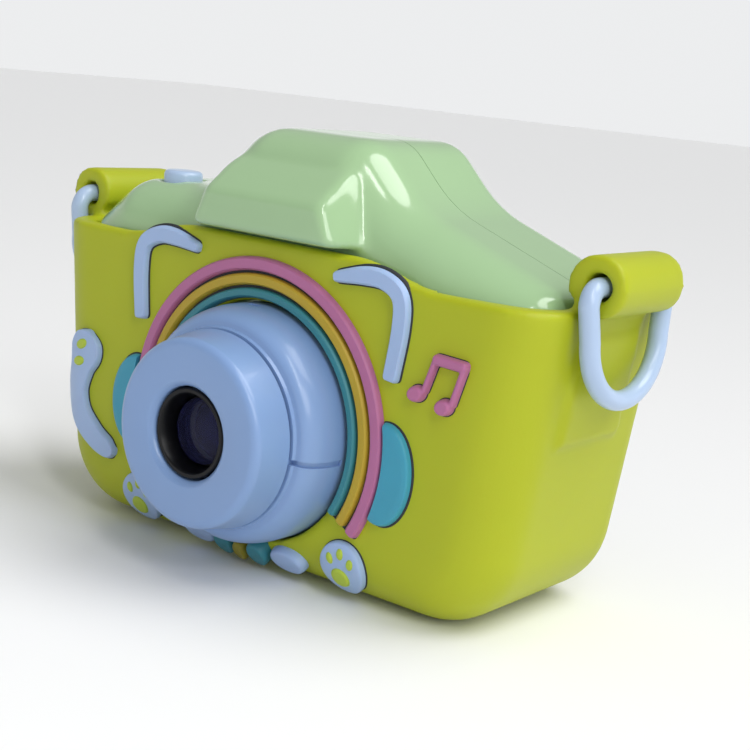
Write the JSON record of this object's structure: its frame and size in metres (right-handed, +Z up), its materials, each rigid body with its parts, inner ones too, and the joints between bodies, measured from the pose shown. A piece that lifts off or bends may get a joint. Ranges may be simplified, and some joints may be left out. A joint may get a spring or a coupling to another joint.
{
  "type": "kids digital camera",
  "caption": "Toy digital camera with a large front lens, rear screen and buttons, in a soft removable sleeve with raised shapes and two strap rings.",
  "frame": {"origin": "centre of the sleeve's flat underside", "axes": "+X to the right seen from the front, lens faces -Y, +Z up"},
  "size_m": [0.114, 0.0533, 0.0702],
  "materials": {
    "case_silicone": "soft matt silicone rubber",
    "shell_mint": "glossy moulded ABS",
    "trim_blue": "satin moulded ABS",
    "relief_blue": "matt silicone inlay",
    "relief_pink": "matt silicone inlay",
    "relief_yellow": "matt silicone inlay",
    "relief_teal": "matt silicone inlay",
    "relief_olive": "matt silicone inlay",
    "black_plastic": "black moulded plastic",
    "dark_glass": "dark printed cover glass",
    "clear_lens": "clear optical plastic",
    "circuit_board": "green solder mask",
    "battery_foil": "foil pouch",
    "plated_steel": "nickel plated"
  },
  "bodies": {
    "camera": {"silicone_case": "case_silicone", "rainbow_band_pink": "relief_pink", "rainbow_band_yellow": "relief_yellow", "rainbow_band_teal": "relief_teal", "ear_relief_left": "relief_blue", "ear_relief_right": "relief_blue", "headphone_pad_left": "relief_teal", "headphone_pad_right": "relief_teal", "note_relief": "relief_pink", "tail_relief": "relief_blue", "paw_relief_left": "relief_blue", "paw_relief_right": "relief_blue", "arm_relief_left": "relief_blue", "arm_relief_right": "relief_blue", "bow_wing_left": "relief_teal", "bow_wing_right": "relief_teal", "bow_knot": "relief_olive", "front_shell": "shell_mint", "rear_shell": "shell_mint", "lens_barrel": "trim_blue", "lens_front_ring": "trim_blue", "lens_bezel": "black_plastic", "lens_window": "clear_lens", "lens_holder": "black_plastic", "lens_element": "clear_lens", "camera_board": "circuit_board", "screen_glass": "dark_glass", "lcd_panel": "black_plastic", "eyepiece_window": "dark_glass", "selfie_camera": "black_plastic", "status_light": "clear_lens", "microphone": "black_plastic", "main_board": "circuit_board", "key_board": "circuit_board", "power_switch": "black_plastic", "up_switch": "black_plastic", "left_switch": "black_plastic", "right_switch": "black_plastic", "down_switch": "black_plastic", "shutter_switch": "black_plastic", "shutter_board": "circuit_board", "battery": "battery_foil", "speaker": "black_plastic", "usb_port": "plated_steel", "card_slot": "plated_steel", "case_screw_lower_left": "plated_steel", "case_screw_lower_right": "plated_steel", "case_screw_upper_left": "plated_steel", "case_screw_upper_right": "plated_steel"},
    "power_button": {"power_button": "trim_blue"},
    "up_button": {"up_button": "trim_blue"},
    "left_button": {"left_button": "trim_blue"},
    "right_button": {"right_button": "trim_blue"},
    "down_button": {"down_button": "trim_blue"},
    "shutter_button": {"shutter_button": "trim_blue"},
    "strap_ring_left": {"strap_ring_left": "trim_blue"},
    "strap_ring_right": {"strap_ring_right": "trim_blue"},
    "memory_card": {"memory_card": "black_plastic"}
  },
  "joints": [
    {"name": "power_press", "type": "slide", "parent": "camera", "child": "power_button", "axis": [0, -1, 0], "range_m": [0, 0.0008], "stiffness_N_per_m": 600, "springref_m": -0.0004},
    {"name": "up_press", "type": "slide", "parent": "camera", "child": "up_button", "axis": [0, -1, 0], "range_m": [0, 0.0008], "stiffness_N_per_m": 600, "springref_m": -0.0004},
    {"name": "left_press", "type": "slide", "parent": "camera", "child": "left_button", "axis": [0, -1, 0], "range_m": [0, 0.0008], "stiffness_N_per_m": 600, "springref_m": -0.0004},
    {"name": "right_press", "type": "slide", "parent": "camera", "child": "right_button", "axis": [0, -1, 0], "range_m": [0, 0.0008], "stiffness_N_per_m": 600, "springref_m": -0.0004},
    {"name": "down_press", "type": "slide", "parent": "camera", "child": "down_button", "axis": [0, -1, 0], "range_m": [0, 0.0008], "stiffness_N_per_m": 600, "springref_m": -0.0004},
    {"name": "shutter_press", "type": "slide", "parent": "camera", "child": "shutter_button", "axis": [0, 0, -1], "range_m": [0, 0.0011], "stiffness_N_per_m": 600, "springref_m": -0.0004},
    {"name": "strap_ring_left_swing", "type": "hinge", "parent": "camera", "child": "strap_ring_left", "pos_m": [-0.0526, 0, 0.054], "axis": [0, 1, 0], "range_deg": [0, 150]},
    {"name": "strap_ring_right_swing", "type": "hinge", "parent": "camera", "child": "strap_ring_right", "pos_m": [0.0526, 0, 0.054], "axis": [0, -1, 0], "range_deg": [0, 150]},
    {"name": "memory_card_slide", "type": "slide", "parent": "camera", "child": "memory_card", "axis": [0, 0, -1], "range_m": [0, 0.012]}
  ]
}
